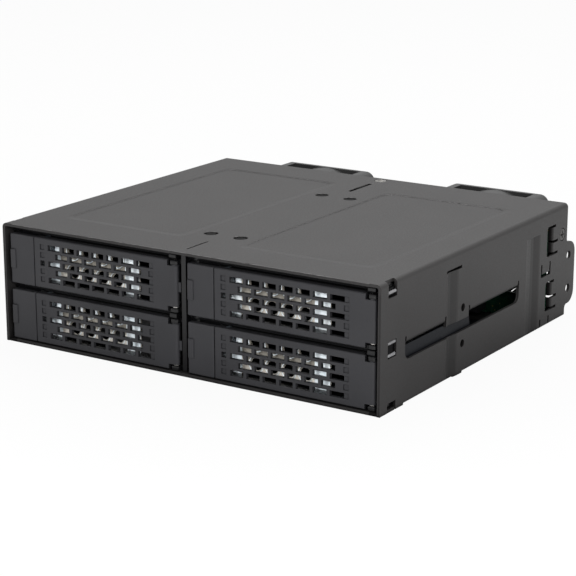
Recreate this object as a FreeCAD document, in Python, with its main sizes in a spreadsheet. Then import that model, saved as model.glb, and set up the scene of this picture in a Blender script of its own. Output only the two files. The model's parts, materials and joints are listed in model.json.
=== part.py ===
import os

import FreeCAD
import Part
import Sketcher

# Hot swap drive cage: a sheet steel cage for one 5.25 inch bay that holds four 2.5 inch drives in
# trays, two across and two high, with a backplane and two 40 mm fans behind them.
# Row frame: +X right, +Y to the rear, +Z up, origin under the middle of the whole object.

TRAY_NAMES = ("upper_left", "upper_right", "lower_left", "lower_right")

# name, value in mm (counts are plain numbers), what it is
SIZE_TABLE = (
    ("cage_width", 146, "outside width, for a 5.25 inch bay"),
    ("cage_height", 41, "outside height, for a half height bay"),
    ("shell_depth", 129.2, "shell, front edge to rear edge"),
    ("sheet", 1, "sheet steel of shell and base"),
    ("bend_radius", 1.5, "outside radius of the sheet bends"),
    ("wall_bottom", 0.7, "height of the side walls' lower edge"),
    # standard side mounting holes
    ("hole_front_y", 52, "front pair, behind the front edge"),
    ("hole_pitch_y", 79.25, "front pair to rear pair"),
    ("hole_low_z", 9.9, "lower row"),
    ("hole_pitch_z", 11.94, "lower row to upper row"),
    ("hole_front_dia", 2.6, "M3 thread core in the wall"),
    ("hole_rear_dia", 3.2, "M3 clearance in the ear"),
    ("ear_reach", 7, "ear, behind the rear edge"),
    ("ear_low", 4.3, "lower edge of the ear"),
    ("ear_high", 26.8, "upper edge of the ear"),
    ("ear_corner", 4.5, "corner radius of the ear"),
    # guide slot and shelves in the side walls and dividers
    ("slot_front_y", 14.9, "front end of the guide slot"),
    ("slot_rear_y", 92.1, "rear end of the guide slot"),
    ("slot_low", 14.1, "lower edge of the guide slot"),
    ("slot_corner", 2.4, "corner radius of the guide slot"),
    ("shelf_front_end", 41, "rear end of the front shelf"),
    ("shelf_rear_start", 56, "front end of the rear shelf"),
    ("shelf_reach", 4, "shelf, inwards from the wall"),
    ("relief", 0.8, "width of the bend reliefs"),
    ("bridge_low", 18, "lower edge of the wall between the shelves"),
    # trays
    ("tray_gap", 0.2, "running gap each side of a tray"),
    ("tray_lift", 0.15, "running gap under a tray"),
    ("tray_pitch", 19.25, "lower row to upper row"),
    ("tray_front", 3.2, "front of the tray frames, behind the shell edge"),
    ("tray_frame_depth", 5.8, "tray frame, front to back"),
    ("pan_sheet", 0.4, "sheet steel of the tray pans"),
    ("pan_end_y", 104, "rear end of the pan floor"),
    ("pan_wall_y", 58, "rear end of the pan's high side walls"),
    ("pan_low_wall", 4, "height of the pan's rear side walls"),
    ("drive_start_y", 9.2, "front of a drive in its tray"),
    ("drive_length", 100.45, "2.5 inch drive"),
    ("drive_height", 15, "tallest 2.5 inch drive that fits"),
    ("divider_sheet", 0.8, "each of the two divider sheets"),
    ("divider_front", 8.8, "front edge of the dividers"),
    ("divider_rear", 113.6, "rear edge of the dividers"),
    # doors and buttons
    ("door_recess", 1, "door faces, behind the shell edge"),
    ("door_lift", 0.1, "door above its tray's underside"),
    ("door_height", 17.05, "door and button, bottom to top"),
    ("door_side", 1, "door edge to tray edge"),
    ("door_plate", 1.3, "thickness of the door plate"),
    ("door_rim", 0.7, "rim behind the door plate"),
    ("rim_wall", 0.8, "thickness of rims"),
    ("button_width", 10.1, "release button"),
    ("seam", 0.15, "gap between button and door"),
    ("pin_dia", 1.4, "hinge pin"),
    ("pin_inset", 1.5, "hinge axis from the door's right edge, and from its face"),
    ("pin_play", 0.05, "radial clearance of the pin in the door"),
    ("barrel_dia", 2.8, "hinge barrel of the door"),
    ("lug_height", 1.4, "hinge lugs of the tray frame"),
    ("lug_width", 3.7, "notch for the hinge lugs, from the door's right edge"),
    ("lug_side_gap", 0.5, "gap between lug and notch, sideways"),
    ("lug_notch_gap", 0.45, "gap between lug and notch, up and down"),
    ("lug_gap", 0.1, "gap between lug and barrel"),
    ("spring_dia", 2.1, "opening spring round the pin"),
    ("spring_height", 2.4, "opening spring"),
    ("swing_gap", 0.25, "clearance round the turning door edge"),
    ("button_travel", 1.2, "press of the release button"),
    # grille
    ("grille_pitch_x", 6.1, "slot to slot"),
    ("grille_pitch_z", 2.75, "row to row"),
    ("grille_slot_width", 5, "slot length"),
    ("grille_slot_height", 1.85, "slot height"),
    ("grille_first", 18.7, "first slot centre, from the front's left edge"),
    ("window_side", 1.8, "status light window"),
    ("window_first", 13.8, "window centre, from the front's left edge"),
    ("blind_reach", 44.8, "blind marks at the right, from those at the left"),
    ("blind_depth", 0.3, "depth of the blind marks"),
    ("vent_hole_dia", 4.2, "round holes of the vent plate"),
    ("vent_first", 22.3, "first hole, from the front's left edge"),
    ("vent_low", 5.4, "lower row of holes, above the tray's underside"),
    ("vent_row_pitch", 7, "lower row to upper row"),
    ("vent_plate_thick", 0.6, "vent plate"),
    # backplane
    ("board_y", 115.4, "front face of the backplane"),
    ("board_thick", 1.6, "backplane"),
    ("board_side_gap", 0.6, "backplane edge to shell wall"),
    ("socket_width", 37.4, "drive socket"),
    ("socket_height", 5.4, "drive socket"),
    ("socket_depth", 6.5, "drive socket"),
    ("socket_shift", -6, "drive socket, from the tray's middle"),
    # fans
    ("fan_side", 40, "fan frame"),
    ("fan_depth", 10, "fan frame, front to back"),
    ("fan_low", 0.4, "underside of the fans"),
    ("fan_left_x", -31, "left fan's axis"),
    ("fan_right_x", 41, "right fan's axis"),
    ("fan_hole_inset", 4, "fan screw holes, from the fan frame's edges"),
    ("fan_hole_dia", 3.4, "fan screw holes"),
    ("fan_duct_wall", 1, "air duct, from the fan frame's edges"),
    ("fan_corner", 3.5, "corner radius of the fan frame"),
    ("fan_corner_post", 5.4, "solid corners of the fan frame"),
    ("fan_recess", 5, "recesses between the fan frame's corners"),
    ("hub_dia", 21, "fan hub"),
    ("blade_gap", 1.1, "blade tip plane to the air duct"),
    ("shaft_dia", 3, "fan shaft"),
    ("shaft_play", 0.05, "radial clearance of the shaft"),
)

document = FreeCAD.newDocument("DriveCage")
sheet = document.addObject("Spreadsheet::Sheet", "Sizes")
pieces = {}


class Size:
    """A length: its value now, and the expression of sheet cells that keeps it up to date."""

    def __init__(self, value, text):
        self.value = float(value)
        self.text = text

    def __add__(self, other):
        other = as_size(other)
        return Size(self.value + other.value, f"({self.text} + {other.text})")

    def __sub__(self, other):
        other = as_size(other)
        return Size(self.value - other.value, f"({self.text} - {other.text})")

    def __rsub__(self, other):
        return as_size(other) - self

    def __mul__(self, factor):
        factor = as_size(factor)
        return Size(self.value * factor.value, f"({self.text} * {factor.text})")

    def __truediv__(self, factor):
        factor = as_size(factor)
        return Size(self.value / factor.value, f"({self.text} / {factor.text})")

    def __neg__(self):
        return Size(-self.value, f"(0 - {self.text})")

    __radd__ = __add__
    __rmul__ = __mul__


def as_size(number):
    """Numbers stand for themselves in an expression."""
    if isinstance(number, Size):
        return number
    return Size(number, f"({float(number)})")


class Sizes:
    """The sheet's cells by name."""

    def __init__(self, table):
        for row, (name, value, note) in enumerate(table, start=1):
            sheet.set(f"A{row}", name)
            sheet.set(f"B{row}", str(value))
            sheet.setAlias(f"B{row}", name)
            sheet.set(f"C{row}", note)
            setattr(self, name, Size(value, f"Sizes.{name}"))


def bind(thing, name, size):
    """Tie one property of a document object to the sheet."""
    thing.setExpression(name, as_size(size).text)


def place(thing, x, y, z):
    """Tie an object's position to the sheet."""
    for axis, size in (("x", x), ("y", y), ("z", z)):
        bind(thing, f"Placement.Base.{axis}", size)


class Piece:
    """A PartDesign body made of sketches and features that take their sizes from the sheet."""

    PLANES = {"XY": ("XY_Plane", 1), "XZ": ("XZ_Plane", -1), "YZ": ("YZ_Plane", 1)}

    def __init__(self, label):
        self.body = document.addObject("PartDesign::Body", label)
        self.body.Label = label
        self.origin = {item.Role: item for item in self.body.Origin.OriginFeatures}
        pieces[label] = self.body

    def sketch(self, plane, level, loops):
        """Closed loops of (u, v) corners, or circles as (u, v, radius), on a plane moved to level."""
        role, sense = self.PLANES[plane]
        drawing = self.body.newObject("Sketcher::SketchObject", "Outline")
        drawing.AttachmentSupport = [(self.origin[role], "")]
        drawing.MapMode = "FlatFace"
        bind(drawing, "AttachmentOffset.Base.z", as_size(level) * sense)
        for loop in loops:
            if isinstance(loop, tuple):
                self.draw_circle(drawing, *loop)
            else:
                self.draw_loop(drawing, loop)
        return drawing

    @staticmethod
    def pin_point(drawing, index, point, u, v):
        """Hold one sketch point at (u, v)."""
        for kind, size in (("DistanceX", as_size(u)), ("DistanceY", as_size(v))):
            number = drawing.addConstraint(Sketcher.Constraint(kind, -1, 1, index, point, size.value))
            drawing.setExpression(f"Constraints[{number}]", size.text)

    def draw_loop(self, drawing, corners):
        spots = [FreeCAD.Vector(as_size(u).value, as_size(v).value, 0) for u, v in corners]
        first = drawing.GeometryCount
        count = len(corners)
        sides = [Part.LineSegment(spots[i], spots[(i + 1) % count]) for i in range(count)]
        drawing.addGeometry(sides, False)
        joins = [
            Sketcher.Constraint("Coincident", first + i, 2, first + (i + 1) % count, 1) for i in range(count)
        ]
        drawing.addConstraint(joins)
        for i, (u, v) in enumerate(corners):
            self.pin_point(drawing, first + i, 1, u, v)

    def draw_circle(self, drawing, u, v, radius):
        centre = FreeCAD.Vector(as_size(u).value, as_size(v).value, 0)
        radius = as_size(radius)
        index = drawing.addGeometry(Part.Circle(centre, FreeCAD.Vector(0, 0, 1), radius.value), False)
        self.pin_point(drawing, index, 3, u, v)
        number = drawing.addConstraint(Sketcher.Constraint("Radius", index, radius.value))
        drawing.setExpression(f"Constraints[{number}]", radius.text)

    def extrude(self, kind, plane, level, depth, loops):
        feature = self.body.newObject(kind, kind.split("::")[1])
        feature.Profile = self.sketch(plane, level, loops)
        bind(feature, "Length", depth)
        return feature

    def pad(self, plane, low, high, *loops):
        """Material between two levels along the plane's axis."""
        start = high if plane == "XZ" else low
        return self.extrude("PartDesign::Pad", plane, start, as_size(high) - low, loops)

    def pocket(self, plane, low, high, *loops):
        """Take material away between two levels along the plane's axis."""
        start = low if plane == "XZ" else high
        return self.extrude("PartDesign::Pocket", plane, start, as_size(high) - low, loops)

    def grid(self, feature, axis, pitch, count, axis2=None, pitch2=0, count2=1):
        """Repeat a feature along one or two of the body's axes."""
        pattern = self.body.newObject("PartDesign::LinearPattern", "Grid")
        pattern.Originals = [feature]
        pattern.Direction = (self.origin[f"{axis}_Axis"], [""])
        bind(pattern, "Length", as_size(pitch) * (count - 1))
        pattern.Occurrences = count
        if axis2:
            pattern.Direction2 = (self.origin[f"{axis2}_Axis"], [""])
            bind(pattern, "Length2", as_size(pitch2) * (count2 - 1))
            pattern.Occurrences2 = count2
        self.body.Tip = pattern
        return pattern

    def ring(self, feature, axis, count):
        """Repeat a feature round one of the body's axes."""
        pattern = self.body.newObject("PartDesign::PolarPattern", "Ring")
        pattern.Originals = [feature]
        pattern.Axis = (self.origin[f"{axis}_Axis"], [""])
        pattern.Angle = 360
        pattern.Occurrences = count
        self.body.Tip = pattern
        return pattern

    def dress(self, kind, prop, radius, axis, places, span):
        """Fillet or chamfer the straight edges along axis that pass through the places given."""
        document.recompute()
        base = self.body.Tip
        names = edge_names(base.Shape, axis, places, span)
        if len(names) < len(places):
            raise RuntimeError(f"{self.body.Label}: {len(names)} edges found for {len(places)} places")
        feature = self.body.newObject(kind, kind.split("::")[1])
        feature.Base = (base, names)
        bind(feature, prop, radius)
        return feature

    def fillet(self, radius, axis, places, span=None):
        return self.dress("PartDesign::Fillet", "Radius", radius, axis, places, span)

    def chamfer(self, size, axis, places, span=None):
        return self.dress("PartDesign::Chamfer", "Size", size, axis, places, span)


def edge_names(shape, axis, places, span):
    """Names of the straight edges along axis at places, which give the other two coordinates in order."""
    along = "XYZ".index(axis)
    across = [i for i in range(3) if i != along]
    wanted = [(as_size(u).value, as_size(v).value) for u, v in places]
    names = []
    for number, edge in enumerate(shape.Edges, start=1):
        ends = [vertex.Point for vertex in edge.Vertexes]
        if len(ends) != 2 or edge.Curve.TypeId != "Part::GeomLine":
            continue
        if any(abs(ends[0][i] - ends[1][i]) > 1e-4 for i in across):
            continue
        middle = (ends[0][along] + ends[1][along]) / 2
        if span and not as_size(span[0]).value < middle < as_size(span[1]).value:
            continue
        if any(abs(ends[0][across[0]] - u) + abs(ends[0][across[1]] - v) < 1e-3 for u, v in wanted):
            names.append(f"Edge{number}")
    return names


def rectangle(u_low, u_high, v_low, v_high):
    return [(u_low, v_low), (u_high, v_low), (u_high, v_high), (u_low, v_high)]


def box(label, low, high):
    """Part::Box between two corners."""
    block = document.addObject("Part::Box", label)
    for name, start, end in zip(("Length", "Width", "Height"), low, high):
        bind(block, name, as_size(end) - start)
    place(block, *low)
    return block


AXIS_TURN = {
    "X": FreeCAD.Rotation(FreeCAD.Vector(0, 1, 0), 90),
    "Y": FreeCAD.Rotation(FreeCAD.Vector(1, 0, 0), -90),
    "Z": FreeCAD.Rotation(),
}


def rod(label, axis, start, radius, length, end_radius=None):
    """Part::Cylinder, or Part::Cone when the end radius differs, from start along +axis."""
    kind = "Part::Cylinder" if end_radius is None else "Part::Cone"
    solid = document.addObject(kind, label)
    solid.Placement = FreeCAD.Placement(FreeCAD.Vector(), AXIS_TURN[axis])
    if end_radius is None:
        bind(solid, "Radius", radius)
    else:
        bind(solid, "Radius1", radius)
        bind(solid, "Radius2", end_radius)
    bind(solid, "Height", length)
    place(solid, *start)
    return solid


def cut(label, base, tools):
    """Base less every tool."""
    for tool in tools:
        result = document.addObject("Part::Cut", label)
        result.Base = base
        result.Tool = tool
        base = result
    return base


def fuse(label, shapes):
    result = document.addObject("Part::MultiFuse", label)
    result.Shapes = shapes
    result.Refine = True
    return result


def group(label, shapes):
    """Several separate solids that share one node."""
    result = document.addObject("Part::Compound", label)
    result.Links = shapes
    result.Label = label
    pieces[label] = result
    return result


def single(label, shape):
    """One primitive or boolean that is a node by itself."""
    shape.Label = label
    pieces[label] = shape
    return shape


# ---------------------------------------------------------------- places worked out from the sizes
d = Sizes(SIZE_TABLE)
document.recompute()

OVER = 2  # how far cuts run past the faces they open
RIGHT = d.cage_width / 2
LEFT = -RIGHT
INNER_RIGHT = RIGHT - d.sheet
TOP = d.cage_height
ROOF = TOP - d.sheet
FRONT = -(d.shell_depth + d.fan_depth) / 2
REAR = FRONT + d.shell_depth
COLUMN_X = (INNER_RIGHT + d.divider_sheet) / 2
TRAY_HALF = (INNER_RIGHT - d.divider_sheet) / 2 - d.tray_gap
DOOR_HALF = TRAY_HALF - d.door_side
PIN_X = DOOR_HALF - d.pin_inset
FLOOR_TRAY = d.sheet + d.tray_lift
SHELF_TOP = FLOOR_TRAY + d.tray_pitch - d.tray_lift
SHELF_LOW = SHELF_TOP - d.sheet
BOARD_REAR = d.board_y + d.board_thick
FAN_HOLE_REACH = d.fan_side / 2 - d.fan_hole_inset
FAN_BORE_RADIUS = d.fan_side / 2 - d.fan_duct_wall
BLADE_REACH = FAN_BORE_RADIUS - d.blade_gap
LIGHT_RISE = d.door_lift + d.door_height - 0.85

# outer shell: windows beside the backplane as lower edge, upper edge and the slit between the flaps
WINDOWS = ((24.8, 35.4, 29), (5.3, 15.8, 9.4))
WINDOW_FRONT = 113
WINDOW_REAR = 117.8
SLIT = 0.9
FLAP_REACH = 3
GROOVE_PRESS = 0.55
GROOVES = ((41.2, 48.6, 1.4, 4.6, 35.6), (97.2, 107.6, 4.2, 4.2, 34.2))
PANEL_PRESS = 0.1
PANELS = ((-59.5, -12, 17.5, 112.5), (12.4, 60.5, 16.3, 108))
# snaps of bezel and base: windows in the walls, webs and lips of the bezel, as lower and upper edge
SNAP_FRONT = 4.4
SNAP_REAR = 9.5
MIDDLE_SNAP_WINDOW = (SHELF_TOP - 3.15, SHELF_TOP + 2.25)
BASE_SNAP_WINDOW = (-1, 3.1)
ROOF_SNAP_LOW = TOP - 5.1
SNAP_WEB = 0.35
SNAP_WEBS = ((SHELF_TOP - 2.95, SHELF_TOP + 1.95), (TOP - 4.7, TOP - 2.3))
SNAP_LIPS = (
    (SHELF_TOP - 2.95, SHELF_TOP - 1.95), (SHELF_TOP + 0.95, SHELF_TOP + 1.95), (TOP - 4.1, TOP - 3.1),
)
# screws and rivets, as places behind the front edge and heights, or as row X and places behind it
SIDE_SCREW = (125.2, 30.6)
ROOF_SCREW = (-0.5, 125.6)
THREAD_RADIUS = 1.3
DIMPLE = 0.5
ROOF_RIVETS = tuple((x, y) for x in (-5.8, 5.8) for y in (25.4, 93.5))
DIVIDER_TABS = (24, 62, 100)
# trays: button seat, stem and hinge toe
BUTTON_SEAT = 2
STEM_HALF = 1.6
STEM_MIDDLE = 8.6
TOE_REACH = 0.9
TOE_LOW = 6.8
TOE_HIGH = 10
VENT_SEAT = 6.8
HEM = 0.3
# behind the backplane
DATA_X = 5
BEARING_RADIUS = 2.6


def depth(size):
    """Row Y of a place given by its distance behind the shell's front edge."""
    return FRONT + size


def tray_place(name):
    """Middle X and underside Z of one tray."""
    row, column = name.split("_")
    middle = COLUMN_X if column == "right" else -COLUMN_X
    under = FLOOR_TRAY + d.tray_pitch if row == "upper" else FLOOR_TRAY
    return middle, under


SIDES = ((-1, "left"), (1, "right"))
SHELVES = (
    (depth(d.slot_front_y + d.relief), depth(d.shelf_front_end - d.relief)),
    (depth(d.shelf_rear_start + d.relief), depth(d.slot_rear_y - d.relief)),
)


# ---------------------------------------------------------------- cage
def make_outer_shell():
    """Top and side walls from one folded sheet, with pressed, pierced and lanced features in the walls."""
    shell = Piece("outer_shell")
    profile = [
        (LEFT, d.wall_bottom), (LEFT, TOP), (RIGHT, TOP), (RIGHT, d.wall_bottom),
        (INNER_RIGHT, d.wall_bottom), (INNER_RIGHT, ROOF),
        (-INNER_RIGHT, ROOF), (-INNER_RIGHT, d.wall_bottom),
    ]
    shell.pad("XZ", FRONT, REAR, profile)
    shell.fillet(d.bend_radius, "Y", [(LEFT, TOP), (RIGHT, TOP)])
    shell.fillet(d.bend_radius - d.sheet, "Y", [(-INNER_RIGHT, ROOF), (INNER_RIGHT, ROOF)])

    ear = rectangle(REAR - 1, REAR + d.ear_reach, d.ear_low, d.ear_high)
    foot_front = rectangle(FRONT, depth(14.2), 0.1, d.wall_bottom + 1)
    foot_middle = [
        (depth(44.8), d.wall_bottom + 1), (depth(46.4), 0.1),
        (depth(52), 0.1), (depth(52.6), d.wall_bottom + 1),
    ]
    for x_low, x_high in ((LEFT, -INNER_RIGHT), (INNER_RIGHT, RIGHT)):
        shell.pad("YZ", x_low, x_high, ear, foot_front, foot_middle)
    shell.fillet(d.ear_corner, "X", [(REAR + d.ear_reach, d.ear_low), (REAR + d.ear_reach, d.ear_high)])
    shell.fillet(1.5, "X", [(REAR, d.ear_low), (REAR, d.ear_high)])

    # everything that is pierced through both walls alike
    openings = [guide_slot(), rectangle(depth(40.8), depth(50.7), 35.2, 36.1)]
    openings += snap_windows() + board_windows() + board_tongue() + wall_holes()
    shell.pocket("YZ", LEFT - OVER, RIGHT + OVER, *openings)
    front, rear = depth(d.slot_front_y), depth(d.slot_rear_y)
    shell.fillet(d.slot_corner, "X", [(front, d.slot_low), (rear, d.slot_low)])
    shell.fillet(1.2, "X", [(depth(WINDOW_FRONT), z) for low, high, _ in WINDOWS for z in (low, high)])

    bend_shelves(shell)
    bend_flaps(shell)
    press_grooves(shell)
    corner = 1.5
    shell.pocket("XY", ROOF_SNAP_LOW, TOP + OVER, *[
        rectangle(low, high, depth(SNAP_FRONT), depth(SNAP_REAR))
        for low, high in ((LEFT - OVER, LEFT + corner), (RIGHT - corner, RIGHT + OVER))
    ])
    for low, high in ((RIGHT - 0.6, RIGHT + OVER), (LEFT - OVER, LEFT + 0.6)):
        shell.pocket("YZ", low, high, (depth(SIDE_SCREW[0]), SIDE_SCREW[1], 2.3))
    roof_features(shell)


def guide_slot():
    """Long slot whose upper edge is bent in as two shelves, with a relief notch at each shelf's ends."""
    front, rear, low = depth(d.slot_front_y), depth(d.slot_rear_y), d.slot_low
    first_end, second_start = depth(d.shelf_front_end), depth(d.shelf_rear_start)
    bend_line = SHELF_LOW + d.bend_radius
    relief_top = bend_line + 0.8
    return [
        (front, low), (rear, low), (rear, relief_top), (rear - d.relief, relief_top),
        (rear - d.relief, bend_line), (second_start + d.relief, bend_line),
        (second_start + d.relief, relief_top), (second_start, relief_top), (second_start, d.bridge_low),
        (first_end, d.bridge_low), (first_end, relief_top), (first_end - d.relief, relief_top),
        (first_end - d.relief, bend_line), (front + d.relief, bend_line),
        (front + d.relief, relief_top), (front, relief_top),
    ]


def snap_windows():
    """Windows near the front edge that the bezel's and the base's snaps sit in."""
    return [
        rectangle(depth(SNAP_FRONT), depth(SNAP_REAR), *ends)
        for ends in (MIDDLE_SNAP_WINDOW, BASE_SNAP_WINDOW)
    ]


def board_windows():
    """Windows beside the backplane, each with three slits behind it that free two flaps."""
    loops = []
    for low, high, middle in WINDOWS:
        front, rear, end = depth(WINDOW_FRONT), depth(WINDOW_REAR), depth(121.8)
        loops.append([
            (front, low), (end, low), (end, low + SLIT), (rear, low + SLIT),
            (rear, middle), (end, middle), (end, middle + SLIT), (rear, middle + SLIT),
            (rear, high - SLIT), (depth(119.8), high - SLIT), (depth(119.8), high), (front, high),
        ])
    return loops


def board_tongue():
    """U-shaped cut that frees a tongue between the windows, and two slits in the lower edge."""
    front, rear, low, high = depth(109), depth(116.5), 18.4, 23
    return [
        [
            (front, low), (rear, low), (rear, high), (rear - 0.9, high),
            (rear - 0.9, low + 1.2), (front + 0.9, low + 1.2), (front + 0.9, high), (front, high),
        ],
        rectangle(front, front + 0.9, -1, 3.5),
        rectangle(rear - 0.9, rear, -1, 3.5),
    ]


def wall_holes():
    """Standard mounting holes, and the side screws' holes."""
    rows = (d.hole_low_z, d.hole_low_z + d.hole_pitch_z)
    front_y = depth(d.hole_front_y)
    rear_y = front_y + d.hole_pitch_y
    loops = [(front_y, z, d.hole_front_dia / 2) for z in rows]
    loops += [(rear_y, z, d.hole_rear_dia / 2) for z in rows]
    return loops + [(depth(SIDE_SCREW[0]), SIDE_SCREW[1], THREAD_RADIUS)]


def mirrored(corners):
    """The same loop on both sides of the middle plane."""
    return [corners, [(-as_size(x), y) for x, y in corners]]


def bend_shelves(shell):
    """Shelves for the upper trays, bent in along the slot's upper edge."""
    bend_line = SHELF_LOW + d.bend_radius
    tip = INNER_RIGHT - d.shelf_reach
    bent_edge = [
        (tip, SHELF_LOW), (RIGHT, SHELF_LOW), (RIGHT, bend_line),
        (INNER_RIGHT, bend_line), (INNER_RIGHT, SHELF_TOP), (tip, SHELF_TOP),
    ]
    for start, end in SHELVES:
        shell.pad("XZ", start, end, *mirrored(bent_edge))
    shell.fillet(d.bend_radius, "Y", [(LEFT, SHELF_LOW), (RIGHT, SHELF_LOW)])


def bend_flaps(shell):
    """Flaps bent in behind the backplane, two at each window."""
    tip = INNER_RIGHT - FLAP_REACH
    front, rear, root = depth(BOARD_REAR), depth(BOARD_REAR) + d.sheet, depth(WINDOW_REAR) + 1
    bent = [
        (tip, front), (RIGHT, front), (RIGHT, root), (INNER_RIGHT, root), (INNER_RIGHT, rear), (tip, rear),
    ]
    for low, high, middle in WINDOWS:
        shell.pad("XY", low + SLIT, middle, *mirrored(bent))
        shell.pad("XY", middle + SLIT, high - SLIT, *mirrored(bent))
    shell.fillet(1.4, "Z", [(LEFT, front), (RIGHT, front)])


def press_grooves(shell):
    """Two upright grooves pressed in each wall."""
    floor = RIGHT - GROOVE_PRESS
    for start, end, slope_front, slope_rear, high in GROOVES:
        groove = [
            (RIGHT, depth(start)), (floor, depth(start + slope_front)),
            (floor, depth(end - slope_rear)), (RIGHT, depth(end)),
        ]
        shell.pocket("XY", 0, high, *mirrored(groove))


def roof_features(shell):
    """Dimples for the divider rivets, two slits over the dividers and two shallow pressed panels."""
    screw_x, screw_y = ROOF_SCREW[0], depth(ROOF_SCREW[1])
    holes = [(x, depth(y), 1.1) for x, y in ROOF_RIVETS] + [(screw_x, screw_y, THREAD_RADIUS)]
    slits = [
        rectangle(-0.8, 0, depth(4.4), depth(16.3)),
        rectangle(-1.6, 0, depth(103.8), depth(119.4)),
    ]
    shell.pocket("XY", ROOF - 1, TOP + OVER, *holes, *slits)
    dimples = [(x, depth(y), 2.4) for x, y in ROOF_RIVETS] + [(screw_x, screw_y, 2.3)]
    shell.pocket("XY", TOP - DIMPLE, TOP + OVER, *dimples)
    shell.pocket("XY", TOP - PANEL_PRESS, TOP + OVER, *[
        rectangle(low, high, depth(start), depth(end)) for low, high, start, end in PANELS
    ])
    shell.fillet(5, "Z", [
        (x, depth(y)) for low, high, start, end in PANELS for x in (low, high) for y in (start, end)
    ])


def make_base_pan():
    """Floor and rear wall from one folded sheet, with the fan openings and the connector windows."""
    base = Piece("base_pan")
    profile = [
        (depth(0.4), 0), (REAR, 0), (REAR, ROOF), (REAR - d.sheet, ROOF),
        (REAR - d.sheet, d.sheet), (depth(0.4), d.sheet),
    ]
    base.pad("YZ", -INNER_RIGHT, INNER_RIGHT, profile)
    base.fillet(d.bend_radius, "X", [(REAR, 0)])
    base.chamfer(d.bend_radius - d.sheet + 0.1, "Y", [(-INNER_RIGHT, ROOF), (INNER_RIGHT, ROOF)])
    # snaps in the lower windows of the shell and tabs for the side screws and the roof screw
    for low, high in ((INNER_RIGHT - 0.5, RIGHT - 0.2), (0.2 - RIGHT, 0.5 - INNER_RIGHT)):
        base.pad("XY", 0, d.sheet, rectangle(low, high, depth(4.6), depth(9.3)))
    for inner, outer in ((INNER_RIGHT - d.sheet, INNER_RIGHT), (d.sheet - INNER_RIGHT, -INNER_RIGHT)):
        low, high = (inner, outer) if inner.value < outer.value else (outer, inner)
        base.pad("YZ", low, high, rectangle(depth(122), REAR - d.sheet / 2, 26.6, 35))
    base.pad("XY", ROOF - d.sheet, ROOF, rectangle(-7, 6, depth(122), REAR - d.sheet / 2))
    base.pocket("YZ", LEFT, RIGHT, (depth(SIDE_SCREW[0]), SIDE_SCREW[1], THREAD_RADIUS))
    base.pocket("XY", ROOF - OVER, ROOF + OVER, (ROOF_SCREW[0], depth(ROOF_SCREW[1]), THREAD_RADIUS))

    wall = (REAR - d.sheet - OVER, REAR + OVER)
    fan_z = d.fan_low + d.fan_side / 2
    for axis_x in (d.fan_left_x, d.fan_right_x):
        base.pocket("XZ", *wall, (axis_x, fan_z, FAN_BORE_RADIUS - 0.5))
        reach = FAN_HOLE_REACH
        corners = [(axis_x + reach * i, fan_z + reach * j) for i in (-1, 1) for j in (-1, 1)]
        base.pocket("XZ", *wall, *[(x, z, d.fan_hole_dia / 2) for x, z in corners])
    base.pocket("XZ", *wall, rectangle(DATA_X - 9, DATA_X + 9, 4.5, 36.5), rectangle(-68, -56.5, 8, 33))
    vent = base.pocket("XZ", *wall, rectangle(64.6, 70, 5, 7.4))
    base.grid(vent, "Z", 4.6, 7)
    slits = base.pocket("XY", -OVER, d.sheet + OVER, rectangle(-64, -46, depth(36), depth(38.4)))
    base.grid(slits, "Y", 22, 3, "X", 36.4, 4)
    base.pocket(
        "XY", -OVER, d.sheet + OVER,
        *[rectangle(-d.divider_sheet, d.divider_sheet, depth(y), depth(y + 6)) for y in DIVIDER_TABS],
    )


def make_divider(side, label):
    """One of the two back to back sheets between the columns, with a lanced shelf and a roof flange."""
    divider = Piece(f"divider_{label}")
    web = (as_size(0), d.divider_sheet) if side > 0 else (-d.divider_sheet, as_size(0))
    outline = [
        (depth(d.divider_front), d.sheet), (depth(d.divider_rear), d.sheet),
        (depth(d.divider_rear), ROOF), (depth(d.divider_front), ROOF),
    ]
    divider.pad("YZ", *web, outline)
    for y in DIVIDER_TABS:
        divider.pad("YZ", *web, rectangle(depth(y + 0.1), depth(y + 5.9), 0.2, d.sheet + 1))
    flange = 10
    low, high = (as_size(0), as_size(flange)) if side > 0 else (as_size(-flange), as_size(0))
    divider.pad("XY", ROOF - d.divider_sheet, ROOF, rectangle(low, high, depth(17), depth(110)))
    reach = d.shelf_reach + d.divider_sheet
    low, high = (as_size(0), reach) if side > 0 else (-reach, as_size(0))
    under_shelf = SHELF_TOP - d.divider_sheet
    divider.pad(
        "XY", under_shelf, SHELF_TOP, *[rectangle(low, high, start, end) for start, end in SHELVES]
    )
    divider.pocket("YZ", -OVER, OVER, *[
        rectangle(start, end, under_shelf - d.shelf_reach, under_shelf) for start, end in SHELVES
    ])
    rivets = [(x, depth(y), 1.1) for x, y in ROOF_RIVETS if x * side > 0]
    divider.pocket("XY", ROOF - OVER, ROOF + OVER, *rivets)


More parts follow.
